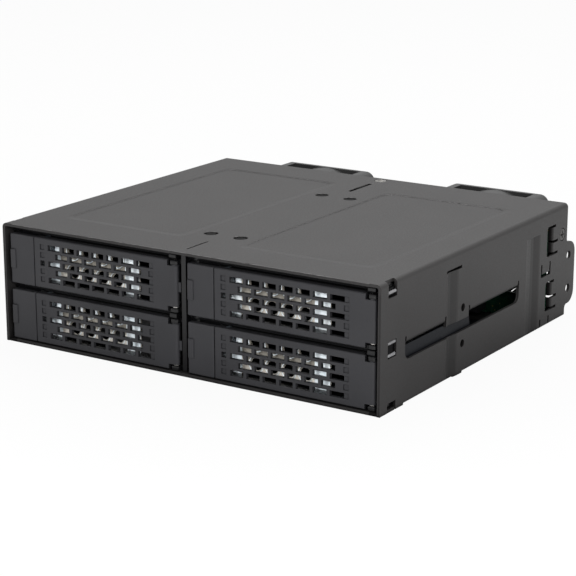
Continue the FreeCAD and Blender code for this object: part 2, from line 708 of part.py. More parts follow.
def make_front_bezel():
    """Black moulding behind the front edge: two crossbars and a middle post, snapped into the walls."""
    bezel = Piece("front_bezel")
    back = depth(8.6)
    bar_front = depth(4.6)
    middle_low, middle_high = FLOOR_TRAY + d.door_lift + d.door_height + 0.15, SHELF_TOP - 0.1
    top_low = FLOOR_TRAY + d.tray_pitch + d.door_lift + d.door_height + 0.2
    for low, high in ((middle_low, middle_high), (top_low, ROOF)):
        bezel.pad("XY", low, high, rectangle(-INNER_RIGHT, INNER_RIGHT, bar_front, back))
    post = d.divider_sheet + 0.05
    bezel.pad("XY", d.sheet, ROOF, rectangle(-post, post, depth(2), back))
    # snaps in the walls' windows: a thin web with a rounded lip at its top and bottom
    snap_front, snap_back = depth(SNAP_FRONT + 0.3), depth(SNAP_REAR - 0.3)
    tip, web = RIGHT - 0.1, INNER_RIGHT + SNAP_WEB
    for low, high in ((INNER_RIGHT - 1, web), (-web, 1 - INNER_RIGHT)):
        bezel.pad(
            "YZ", low, high,
            rectangle(snap_front, snap_back, ROOF - 2.25, ROOF - 1.25),
            rectangle(snap_front, back, SHELF_TOP - 1.8, SHELF_TOP - 0.1),
        )
    for low, high in ((INNER_RIGHT, web), (-web, -INNER_RIGHT)):
        bezel.pad("YZ", low, high, *[rectangle(snap_front, snap_back, *ends) for ends in SNAP_WEBS])
    for low, high in ((INNER_RIGHT, tip), (-tip, -INNER_RIGHT)):
        bezel.pad("YZ", low, high, *[rectangle(snap_front, snap_back, *ends) for ends in SNAP_LIPS])
    bezel.fillet(0.35, "Y", [(side * tip, z) for side in (1, -1) for ends in SNAP_LIPS for z in ends])
    bezel.chamfer(d.bend_radius - d.sheet + 0.1, "Y", [(-INNER_RIGHT, ROOF), (INNER_RIGHT, ROOF)])
    # stop blocks over the hinge end of each tray
    for low, high in ((middle_low, middle_high), (top_low + 0.4, ROOF - 0.3)):
        spots = (PIN_X - COLUMN_X, PIN_X + COLUMN_X)
        bezel.pad("XY", low, high, *[
            rectangle(spot - 1.4, spot + 1.2, depth(1), bar_front + 0.5) for spot in spots
        ])
        bezel.fillet(0.5, "X", [(depth(1), low), (depth(1), high)])


def make_backplane():
    """Circuit board across the cage with air openings, drive sockets in front and ports behind."""
    board = Piece("backplane_board")
    half = INNER_RIGHT - d.board_side_gap
    face, back = depth(d.board_y), depth(BOARD_REAR)
    low, high = d.sheet + 0.2, ROOF - d.divider_sheet - 0.2
    board.pad("XZ", face, back, rectangle(-half, half, low, high))
    openings = []
    for name in TRAY_NAMES:
        middle, under = tray_place(name)
        openings.append(rectangle(middle - 20, middle - 4, under + 8.6, under + 15.4))
        openings.append(rectangle(middle + 4, middle + 26, under + 8.6, under + 15.4))
    board.pocket("XZ", face - OVER, back + OVER, *openings)

    sockets = []
    for name in TRAY_NAMES:
        middle, under = tray_place(name)
        low_x = middle + d.socket_shift - d.socket_width / 2
        low_z = under + d.pan_sheet + 0.8
        front = face - d.socket_depth
        body = box(
            "SocketBody", (low_x, front, low_z), (low_x + d.socket_width, face, low_z + d.socket_height)
        )
        cavities = [
            box(
                "SocketCavity", (low_x + start, front - OVER, low_z + 1.1),
                (low_x + start + width, front + 4.6, low_z + d.socket_height - 1.1),
            )
            for start, width in ((2.2, 21.4), (24.8, 10.4))
        ]
        shell = cut("SocketShell", body, cavities)
        tongues = [
            box(
                "SocketTongue", (low_x + start, front + 0.6, low_z + 1.9),
                (low_x + start + width, front + 5.2, low_z + 2.9),
            )
            for start, width in ((2.9, 20), (25.4, 9.2))
        ]
        sockets.append(fuse("Socket", [shell] + tongues))
    group("drive_sockets", sockets)

    ports = []
    for low_z in (6.4, 13.7, 21, 28.3):
        body = box("PortBody", (DATA_X - 7.4, back, low_z), (DATA_X + 7.4, back + 8.6, low_z + 5.8))
        cavity = box(
            "PortCavity", (DATA_X - 5.9, back + 3, low_z + 1.7), (DATA_X + 5.9, back + 10, low_z + 4.1)
        )
        tongue = box(
            "PortTongue", (DATA_X - 5, back + 2.6, low_z + 2.2), (DATA_X + 5, back + 8.2, low_z + 3.2)
        )
        ports.append(fuse("Port", [cut("PortShell", body, [cavity]), tongue]))
    group("data_ports", ports)

    power = Piece("power_port")
    power.pad("XZ", back, back + 11, rectangle(-66.4, -58, 9.6, 31.4))
    power.chamfer(1.6, "Y", [(-66.4, 9.6), (-66.4, 31.4)])
    power.pocket("XZ", back + 3, back + 13, rectangle(-65, -59.3, 11.2, 29.8))
    pin = power.pad("XZ", back + 2.5, back + 9.8, (-62.2, 12.9, 1))
    power.grid(pin, "Z", 5.08, 4)

    chips = []
    for middle_x, middle_z, width, height, thick in (
        (-44, 22.5, 7, 7, 1.1), (-20, 22.5, 5, 4, 1), (24, 5, 7, 5, 1.2), (26, 22.5, 9, 5, 1.1),
        (50, 4.6, 6, 4, 1), (-44, 4.6, 6, 4, 1), (INNER_RIGHT - FLAP_REACH - 2, 22, 4, 10, 2),
        (-22, 4.6, 8, 4, 2),
    ):
        chips.append(box(
            "Chip", (middle_x - width / 2, back, middle_z - height / 2),
            (middle_x + width / 2, back + thick, middle_z + height / 2),
        ))
    group("board_chips", chips)
    lights = []
    for name in TRAY_NAMES:
        middle, under = tray_place(name)
        light_x = guide_x(middle)
        lights.append(box(
            "Light", (light_x - 0.8, face - 1.2, under + LIGHT_RISE - 0.8),
            (light_x + 0.8, face, under + LIGHT_RISE + 0.8),
        ))
    group("status_lights", lights)
    headers = []
    for axis_x in (d.fan_left_x, d.fan_right_x):
        header_x = axis_x + d.fan_side / 2 + 1.4
        headers.append(box("Header", (header_x - 2.4, back, 2.6), (header_x + 2.4, back + 5.4, 6)))
    group("fan_headers", headers)


def guide_x(middle):
    """Light guide: beside the drive, over the pan's left wall."""
    return middle - DOOR_HALF + d.window_first


# ---------------------------------------------------------------- fans
def make_fan(label, axis_x):
    """40 mm axial fan: moulded frame with struts and bearing tube, impeller on a steel shaft."""
    axis_z = d.fan_low + d.fan_side / 2
    half = d.fan_side / 2
    frame = Piece(f"fan_frame_{label}")
    place(frame.body, axis_x, REAR, axis_z)
    flange_front, flange_rear = 2.4, 1.5
    frame.pad("XZ", 0, d.fan_depth, rectangle(-half, half, -half, half))
    frame.fillet(d.fan_corner, "Y", [(x, z) for x in (-half, half) for z in (-half, half)])
    # recesses between the solid corners, with the round duct standing in them
    corner, inner, out = d.fan_corner_post, half - d.fan_recess, half + OVER
    frame.pocket(
        "XZ", flange_front, d.fan_depth - flange_rear,
        rectangle(corner - half, half - corner, inner, out),
        rectangle(corner - half, half - corner, -out, -inner),
        rectangle(inner, out, corner - half, half - corner),
        rectangle(-out, -inner, corner - half, half - corner),
    )
    frame.pad("XZ", flange_front, d.fan_depth - flange_rear, (0, 0, half - 0.1))
    reach = FAN_HOLE_REACH
    holes = [(reach * i, reach * j, d.fan_hole_dia / 2) for i in (-1, 1) for j in (-1, 1)]
    frame.pocket("XZ", -OVER, d.fan_depth + OVER, (0, 0, FAN_BORE_RADIUS), *holes)
    # motor plate on three struts, and the tube that holds the bearing
    strut_front, strut_end = d.fan_depth - flange_rear, FAN_BORE_RADIUS + 0.4
    strut = frame.pad("XZ", strut_front, d.fan_depth, [
        (-1.1, 0), (1.1, 0), (1.4, strut_end), (-1.4, strut_end),
    ])
    frame.ring(strut, "Y", 3)
    frame.pad("XZ", strut_front, d.fan_depth, (0, 0, d.hub_dia / 2))
    frame.pad("XZ", 2.6, d.fan_depth, (0, 0, 3.9))
    frame.pocket("XZ", 1, d.fan_depth - 0.5, (0, 0, BEARING_RADIUS))

    rotor = Piece(f"fan_rotor_{label}")
    place(rotor.body, axis_x, REAR, axis_z)
    hub_front, hub_rear = 0.6, 7.9
    rotor.pad("XZ", hub_front, hub_rear, (0, 0, d.hub_dia / 2))
    rotor.pocket("XZ", hub_front + 1.1, hub_rear + OVER, (0, 0, d.hub_dia / 2 - 1.1))
    loft = rotor.body.newObject("PartDesign::AdditiveLoft", "Blade")
    root = rotor.sketch("YZ", d.hub_dia / 2 - 0.6, [blade_section(1.5, 7.2, 5.4, 0.9)])
    tip = rotor.sketch("YZ", BLADE_REACH, [blade_section(2.2, 6.9, 5.6, 0.55)])
    loft.Profile = root
    loft.Sections = [tip]
    loft.Ruled = True
    rotor.ring(loft, "Y", 7)
    rotor.pad("XZ", hub_front + 0.5, 2.5, (0, 0, 2.6))
    rotor.pocket("XZ", hub_front - OVER, 2.5 + OVER, (0, 0, d.shaft_dia / 2))

    shaft = rod(f"fan_shaft_{label}", "Y", (axis_x, REAR + 0.4, axis_z), d.shaft_dia / 2, 8.6)
    single(f"fan_shaft_{label}", shaft)
    bearing = cut(
        "Bearing",
        rod("BearingBody", "Y", (axis_x, REAR + 2.7, axis_z), BEARING_RADIUS, 6.7),
        [rod("BearingBore", "Y", (axis_x, REAR, axis_z), d.shaft_dia / 2 + d.shaft_play, 12)],
    )
    return bearing


def blade_section(front, rear, spread, thick):
    """Thin slanted section of a blade: front and rear edge along the axis, spread across it."""
    return [
        (front, -spread / 2), (front + thick, -spread / 2 - thick / 2),
        (rear, spread / 2), (rear - thick, spread / 2 + thick / 2),
    ]


def make_fans():
    bearings = [make_fan("left", d.fan_left_x), make_fan("right", d.fan_right_x)]
    group("fan_bearings", bearings)
    screws = []
    axis_z = d.fan_low + d.fan_side / 2
    for axis_x in (d.fan_left_x, d.fan_right_x):
        for x in (axis_x - FAN_HOLE_REACH, axis_x + FAN_HOLE_REACH):
            for z in (axis_z - FAN_HOLE_REACH, axis_z + FAN_HOLE_REACH):
                start = (x, REAR - d.sheet - 1.4, z)
                screws.append(flat_screw("FanScrew", "Y", start, 2.9, 1.4, 1.55, 9))
    group("fan_screws", screws)


def flat_screw(label, axis, start, head_radius, head_height, shank_radius, length, sense=1):
    """Head and shank; sense 1 drives the shank along +axis from the start, -1 against it."""
    index = "XYZ".index(axis)
    head_at, shank_at = list(start), list(start)
    if sense < 0:
        head_at[index] = start[index] - head_height
        shank_at[index] = start[index] - length
    head = rod(label + "Head", axis, head_at, head_radius, head_height)
    shank = rod(label + "Shank", axis, shank_at, shank_radius, length)
    return fuse(label + "Body", [head, shank])


def make_fasteners():
    """Side screws, roof screw, and the rivets that hold the dividers."""
    side_y, side_z = depth(SIDE_SCREW[0]), SIDE_SCREW[1]
    sides = [
        flat_screw("SideScrew", "X", (wall, side_y, side_z), 2.2, 0.55, 1.2, 2.9, sense)
        for wall, sense in ((RIGHT, -1), (LEFT, 1))
    ]
    group("side_screws", sides)
    start = (as_size(ROOF_SCREW[0]), depth(ROOF_SCREW[1]), TOP)
    roof = flat_screw("roof_screw", "Z", start, 2.2, 0.45, 1.2, 2.9, -1)
    single("roof_screw", roof)
    rivets = []
    grip = d.sheet + d.divider_sheet - DIMPLE + 0.1
    for x, y in ROOF_RIVETS:
        head = rod("RivetHead", "Z", (x, depth(y), TOP - DIMPLE), 1.7, 0.3)
        shank = rod("RivetShank", "Z", (x, depth(y), ROOF - d.divider_sheet), 1.05, grip)
        rivets.append(fuse("Rivet", [head, shank]))
    group("divider_rivets", rivets)


# ---------------------------------------------------------------- trays
def make_tray(name):
    middle, under = tray_place(name)
    make_tray_frame(name, middle, under)
    make_tray_pan(name, middle, under)
    make_vent_plate(name, middle, under)
    make_light_guide(name, middle, under)
    make_door(name, middle, under)
    make_button(name, middle, under)
    make_hinge_parts(name, middle, under)


def make_tray_frame(name, middle, under):
    """Front frame of a tray: moulding with the hinge lugs at its right and the button's seat at its left."""
    frame = Piece(f"tray_frame_{name}")
    front = depth(d.tray_front)
    back = front + d.tray_frame_depth
    low, high = under + d.door_lift, under + d.door_lift + d.door_height
    left, right = middle - TRAY_HALF, middle + TRAY_HALF
    button_right = middle - DOOR_HALF + d.button_width
    frame.pad("XZ", front, back, rectangle(left, right, low, high))
    # air opening behind the grille, and the seat for the vent plate
    open_left, open_right = middle - DOOR_HALF + 11.6, middle + DOOR_HALF - 5
    frame.pocket("XZ", front - OVER, back + OVER, rectangle(open_left, open_right, low + 1.4, high - 1.4))
    # seat for the button and holes for its stem
    seat = front + BUTTON_SEAT
    frame.pocket(
        "XZ", front - OVER, seat, rectangle(left - OVER, button_right + 0.4, low - OVER, high + OVER)
    )
    stem, stem_z, stem_hole = stem_place(middle), under + STEM_MIDDLE, STEM_HALF + 0.1
    frame.pocket(
        "XZ", front - OVER, back + OVER,
        rectangle(stem - stem_hole, stem + stem_hole, stem_z - stem_hole, stem_z + stem_hole),
    )
    spot, window = guide_x(middle), (low + high) / 2
    frame.pocket(
        "XZ", front - OVER, back + OVER, rectangle(spot - 0.8, spot + 0.8, window - 0.8, high + OVER)
    )
    # hinge lugs
    door_right = middle + DOOR_HALF
    pin_x, pin_y = middle + PIN_X, depth(d.door_recess) + d.pin_inset
    lug_left = door_right - d.lug_width + d.lug_side_gap
    for lug_low, lug_high in ((low, low + d.lug_height), (high - d.lug_height, high)):
        frame.pad(
            "XY", lug_low, lug_high,
            rectangle(lug_left, door_right, depth(d.door_recess) + 0.1, front + 1),
        )
    frame.fillet(1.1, "Z", [
        (x, depth(d.door_recess) + 0.1) for x in (lug_left, door_right)
    ])
    frame.fillet(0.6, "X", [
        (depth(d.door_recess) + 0.1, z) for z in (low + d.lug_height, high)
    ])
    swing = (as_size(d.pin_inset) * 1.4143) + d.swing_gap
    clear = (low + d.lug_height, high - d.lug_height)
    frame.pocket("XY", *clear, (pin_x, pin_y, swing))
    frame.pocket("XY", *clear, rectangle(pin_x + 0.5, right + OVER, front - OVER, pin_y + swing))
    toe = as_size(TOE_REACH) + d.pin_inset + 0.8
    frame.pocket("XY", under + TOE_LOW - 0.3, under + TOE_HIGH + 0.3, (pin_x, pin_y, toe))
    frame.pocket("XY", low - OVER, high + OVER, (pin_x, pin_y, d.pin_dia / 2))


def stem_place(middle):
    """Middle of the button's stem."""
    return middle - DOOR_HALF + d.button_width / 2 - 0.6


def make_tray_pan(name, middle, under):
    """Sheet pan that carries the drive: floor with screw holes and vents, high walls at the front."""
    pan = Piece(f"tray_pan_{name}")
    start = depth(d.tray_front + d.tray_frame_depth)
    end, high_end = depth(d.pan_end_y), depth(d.pan_wall_y)
    left, right = middle - TRAY_HALF, middle + TRAY_HALF
    top = under + d.door_lift + d.door_height
    low_top = under + d.pan_low_wall
    section = [
        (left, under), (right, under), (right, low_top), (right - d.pan_sheet, low_top),
        (right - d.pan_sheet, under + d.pan_sheet), (left + d.pan_sheet, under + d.pan_sheet),
        (left + d.pan_sheet, low_top), (left, low_top),
    ]
    pan.pad("XZ", start, end, section)
    for low_x, high_x in ((left, left + d.pan_sheet), (right - d.pan_sheet, right)):
        wall = [
            (start, under + d.pan_sheet), (high_end + 4, low_top - 0.5),
            (high_end, top), (start, top),
        ]
        pan.pad("YZ", low_x, high_x, wall)
    pan.fillet(0.35, "Y", [(left, under), (right, under)])
    # floor openings and the four screw holes of a 2.5 inch drive
    opening = pan.pocket(
        "XY", under - OVER, under + d.pan_sheet + OVER,
        rectangle(middle - 22, middle - 8, start + 14, start + 28),
    )
    pan.grid(opening, "X", 30, 2, "Y", 24, 3)
    rear_holes = depth(d.drive_start_y + d.drive_length - 14)
    holes = [
        (middle + 30.86 * i, rear_holes - 76.6 * j, 1.6) for i in (-1, 1) for j in (0, 1)
    ]
    pan.pocket("XY", under - OVER, under + d.pan_sheet + OVER, *holes)


def make_vent_plate(name, middle, under):
    """Bare sheet plate behind the grille, with two rows of round holes and hemmed ends."""
    plate = Piece(f"vent_plate_{name}")
    seat = depth(VENT_SEAT)
    back = seat + d.vent_plate_thick
    front_left = middle - DOOR_HALF
    left, right = front_left + 12.2, front_left + 49.6
    low, high = under + d.door_lift + 1.4, under + d.door_lift + d.door_height - 1.4
    plate.pad("XZ", seat, back, rectangle(left, right, low, high))
    plate.pad(
        "XZ", seat - HEM, seat,
        rectangle(left, left + 4.8, low, high), rectangle(right - 5.6, right, low, high),
    )
    # notch for the light guide
    through_plate = (seat - OVER, back + OVER)
    spot, window = guide_x(middle), under + d.door_lift + d.door_height / 2
    plate.pocket("XZ", *through_plate, rectangle(spot - 0.9, spot + 0.9, window - 0.9, high + OVER))
    hole_x, hole_z = front_left + d.vent_first, under + d.vent_low
    holes = [(hole_x, z, d.vent_hole_dia / 2) for z in (hole_z, hole_z + d.vent_row_pitch)]
    pair = plate.pocket("XZ", *through_plate, *holes)
    plate.grid(pair, "X", d.grille_pitch_x, 4)


def make_light_guide(name, middle, under):
    """Clear rod from the backplane's status light to the window in the door."""
    spot = guide_x(middle)
    guide = Piece(f"light_guide_{name}")
    start = depth(d.tray_front + 0.4)
    frame_back = depth(d.tray_front + d.tray_frame_depth)
    end = depth(d.board_y - 1.6)
    low, high = under + LIGHT_RISE - 0.7, under + LIGHT_RISE + 0.7
    window = under + d.door_lift + d.door_height / 2
    guide.pad("XZ", frame_back - 1, end, rectangle(spot - 0.7, spot + 0.7, low, high))
    guide.pad("XZ", start, frame_back, rectangle(spot - 0.7, spot + 0.7, window - 0.7, high))


def make_door(name, middle, under):
    """Lever door: plate with the grille, rim behind it, barrel and toe at the hinge end."""
    door = Piece(f"door_{name}")
    face = depth(d.door_recess)
    back = face + d.door_plate
    rim_back = back + d.door_rim
    low, high = under + d.door_lift, under + d.door_lift + d.door_height
    left, right = middle - DOOR_HALF + d.button_width + d.seam, middle + DOOR_HALF
    centre_z = (low + high) / 2
    pin_x, pin_y = right - d.pin_inset, face + d.pin_inset
    lug_left = right - d.lug_width
    step_low, step_high = low + d.lug_height + d.lug_gap, high - d.lug_height - d.lug_gap
    notch_low, notch_high = low + d.lug_height + d.lug_notch_gap, high - d.lug_height - d.lug_notch_gap
    outline = [
        (left, low), (lug_left, low), (lug_left, notch_low), (right, notch_low),
        (right, notch_high), (lug_left, notch_high), (lug_left, high), (left, high),
    ]
    door.pad("XZ", face, back, outline)
    door.fillet(1, "Z", [(right, face)], (notch_low, notch_high))
    door.fillet(0.5, "Z", [(left, face)])
    door.chamfer(0.3, "X", [(face, low), (face, high)])
    door.pad(
        "XZ", back - 0.1, rim_back,
        rectangle(left, lug_left - 1, high - d.rim_wall, high),
        rectangle(left, lug_left - 1, low, low + d.rim_wall),
    )
    door.pad("XZ", back - 0.1, rim_back, rectangle(left, left + d.rim_wall, low, high))
    spring_top = step_low + d.spring_height + d.lug_gap
    door.pad("XY", spring_top, step_high, (pin_x, pin_y, d.barrel_dia / 2))
    door.pad(
        "XY", under + TOE_LOW, under + TOE_HIGH,
        rectangle(pin_x, right + TOE_REACH, pin_y - 0.6, pin_y + 0.6),
    )
    door.pocket("XY", low - OVER, high + OVER, (pin_x, pin_y, d.pin_dia / 2 + d.pin_play))
    door.pocket(
        "XY", step_low - OVER, spring_top, (pin_x, pin_y, d.spring_dia / 2 + d.lug_gap),
    )

    # grille: odd rows of seven slots, even rows of six set half a pitch along
    plate = (face - OVER, back + OVER)
    front_left = middle - DOOR_HALF
    half_width, half_height = d.grille_slot_width / 2, d.grille_slot_height / 2
    first = front_left + d.grille_first
    for start, row, count, rows in (
        (first, centre_z - d.grille_pitch_z * 2, 7, 3),
        (first + d.grille_pitch_x / 2, centre_z - d.grille_pitch_z, 6, 2),
    ):
        slot = door.pocket("XZ", *plate, rectangle(
            start - half_width, start + half_width, row - half_height, row + half_height
        ))
        door.grid(slot, "X", d.grille_pitch_x, count, "Z", d.grille_pitch_z * 2, rows)
    window = front_left + d.window_first
    side = d.window_side / 2
    door.pocket("XZ", *plate, rectangle(window - side, window + side, centre_z - side, centre_z + side))
    blind = [(window, row) for row in (-2, -1, 1, 2)]
    blind += [(window + d.blind_reach, row) for row in range(-2, 3)]
    rows = [(x, centre_z + d.grille_pitch_z * row) for x, row in blind]
    door.pocket(
        "XZ", face - OVER, face + d.blind_depth,
        *[rectangle(x - side, x + side, z - side, z + side) for x, z in rows],
    )


def make_button(name, middle, under):
    """Release button: cap with a thumb ridge and a stem with a barb behind the tray frame."""
    button = Piece(f"release_button_{name}")
    face = depth(d.door_recess)
    back = face + d.door_plate + d.door_rim
    low, high = under + d.door_lift, under + d.door_lift + d.door_height
    left = middle - DOOR_HALF
    right = left + d.button_width
    button.pad("XZ", face, back, rectangle(left, right, low, high))
    button.fillet(0.5, "Z", [(left, face), (right, face)])
    button.fillet(0.4, "X", [(face, low), (face, high)])
    button.pocket(
        "XZ", face + d.door_plate, back + OVER,
        rectangle(left + d.rim_wall, right - d.rim_wall, low + d.rim_wall, high - d.rim_wall),
    )
    centre_z = (low + high) / 2
    ridge_left, ridge_right, ridge_face = left + 0.2, left + 2.4, face - 0.5
    button.pad("XZ", ridge_face, face + 0.8, rectangle(
        ridge_left, ridge_right, centre_z - 3.2, centre_z + 3.2
    ))
    button.chamfer(0.3, "Z", [(ridge_left, ridge_face), (ridge_right, ridge_face)])
    stem = stem_place(middle)
    frame_back = depth(d.tray_front + d.tray_frame_depth)
    stem_z = under + STEM_MIDDLE
    button.pad(
        "XZ", face + 1, frame_back + 1.4,
        rectangle(stem - STEM_HALF, stem + STEM_HALF, stem_z - STEM_HALF, stem_z + STEM_HALF),
    )
    button.pad(
        "XZ", frame_back + 0.05, frame_back + 1.4,
        rectangle(stem - STEM_HALF, stem + STEM_HALF, stem_z - STEM_HALF - 0.6, stem_z + STEM_HALF + 0.6),
    )


def make_hinge_parts(name, middle, under):
    """Hinge pin, the door's opening spring on it, and the button's return spring."""
    low, high = under + d.door_lift, under + d.door_lift + d.door_height
    pin_x, pin_y = middle + PIN_X, depth(d.door_recess) + d.pin_inset
    pin = rod(f"hinge_pin_{name}", "Z", (pin_x, pin_y, low), d.pin_dia / 2, high - low)
    single(f"hinge_pin_{name}", pin)
    spring_low = low + d.lug_height + 0.05
    sleeve = cut(
        "DoorSpringCoil",
        rod("CoilBody", "Z", (pin_x, pin_y, spring_low), d.spring_dia / 2, d.spring_height),
        [rod("CoilBore", "Z", (pin_x, pin_y, low), d.pin_dia / 2 + 0.05, 2 * d.spring_height)],
    )
    leg = box(
        "CoilLeg", (pin_x - d.spring_dia / 2 + 0.05, pin_y, spring_low + d.spring_height - 0.5),
        (pin_x - d.spring_dia / 2 + 0.3, pin_y + 2.2, spring_low + d.spring_height),
    )
    single(f"door_spring_{name}", fuse("DoorSpring", [sleeve, leg]))
    stem = stem_place(middle)
    seat = depth(d.tray_front + BUTTON_SEAT)
    length = seat - (depth(d.door_recess) + d.door_plate + d.button_travel) - 0.05
    coil = cut(
        f"button_spring_{name}",
        rod("SpringBody", "Y", (stem, seat - length, under + STEM_MIDDLE), 3, length),
        [rod("SpringBore", "Y", (stem, seat - 3, under + STEM_MIDDLE), 2.45, 5)],
    )
    single(f"button_spring_{name}", coil)


def check_model():
    """Stop on a failed object, an empty or invalid piece, or a cut that removed nothing."""
    for item in document.Objects:
        if "Invalid" in item.State or "Error" in item.State:
            owner = item.getParentGeoFeatureGroup()
            raise RuntimeError(f"{item.Name} of {owner.Label if owner else item.Label} failed")
        if item.TypeId in ("PartDesign::Pocket", "PartDesign::Groove"):
            if item.Shape.Volume > item.BaseFeature.Shape.Volume - 1e-4:
                raise RuntimeError(f"{item.Name} cuts nothing")
    for label, item in pieces.items():
        if item.Shape.isNull() or not item.Shape.isValid() or not item.Shape.Solids:
            raise RuntimeError(f"{label} has no valid shape")


def write_steps():
    os.makedirs("parts", exist_ok=True)
    for label, item in pieces.items():
        item.Shape.exportStep(f"parts/{label}.step")


make_outer_shell()
make_base_pan()
for side, label in SIDES:
    make_divider(side, label)
make_front_bezel()
make_backplane()
make_fans()
make_fasteners()
for tray_name in TRAY_NAMES:
    make_tray(tray_name)
document.recompute()
check_model()
write_steps()
print(f"{len(pieces)} nodes, {sum(len(item.Shape.Solids) for item in pieces.values())} solids")
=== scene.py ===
"""Looks of the hot swap drive cage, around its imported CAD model. Metres, in the CAD's own frame."""

import json
import math

import bmesh
import bpy
from mathutils import Matrix, Vector


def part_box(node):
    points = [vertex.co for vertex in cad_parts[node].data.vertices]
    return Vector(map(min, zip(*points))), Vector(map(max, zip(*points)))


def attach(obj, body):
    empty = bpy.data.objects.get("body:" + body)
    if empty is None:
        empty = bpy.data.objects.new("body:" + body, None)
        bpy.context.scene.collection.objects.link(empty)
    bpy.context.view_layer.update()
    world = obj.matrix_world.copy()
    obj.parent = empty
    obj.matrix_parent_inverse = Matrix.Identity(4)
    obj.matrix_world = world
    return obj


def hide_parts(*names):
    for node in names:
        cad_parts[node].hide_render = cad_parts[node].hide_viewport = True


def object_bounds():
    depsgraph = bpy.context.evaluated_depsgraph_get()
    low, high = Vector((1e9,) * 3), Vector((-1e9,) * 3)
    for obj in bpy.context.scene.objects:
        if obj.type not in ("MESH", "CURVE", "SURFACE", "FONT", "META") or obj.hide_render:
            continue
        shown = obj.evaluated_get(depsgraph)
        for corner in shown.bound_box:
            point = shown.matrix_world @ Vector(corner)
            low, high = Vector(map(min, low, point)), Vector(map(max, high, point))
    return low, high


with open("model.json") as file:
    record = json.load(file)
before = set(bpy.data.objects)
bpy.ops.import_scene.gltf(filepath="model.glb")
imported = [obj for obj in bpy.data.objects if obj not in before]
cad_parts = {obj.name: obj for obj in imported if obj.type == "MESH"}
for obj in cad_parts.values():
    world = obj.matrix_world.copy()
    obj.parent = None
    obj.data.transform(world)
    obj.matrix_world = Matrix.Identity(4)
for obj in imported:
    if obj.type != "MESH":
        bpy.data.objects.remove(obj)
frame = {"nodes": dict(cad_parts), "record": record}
cad_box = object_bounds()

TRAYS = ("upper_left", "upper_right", "lower_left", "lower_right")
MM = 0.001

# the shell: its outermost corner, the panels pressed in its roof, and how far down its roof's details go
CORNER = cad_box[1]
ROOF_PANELS = (((-0.0595, -0.0521), (-0.012, 0.0429)), ((0.0124, -0.0533), (0.0605, 0.0384)))
ROOF_FLOOR = CORNER[2] - 0.15 * MM


# ---------------------------------------------------------------- materials


def srgb(red, green, blue):
    """A colour as it is seen, 0 to 255, in the linear numbers that shaders take."""
    linear = []
    for value in (red, green, blue):
        part = value / 255
        linear.append(part / 12.92 if part <= 0.04045 else ((part + 0.055) / 1.055) ** 2.4)
    return (*linear, 1.0)


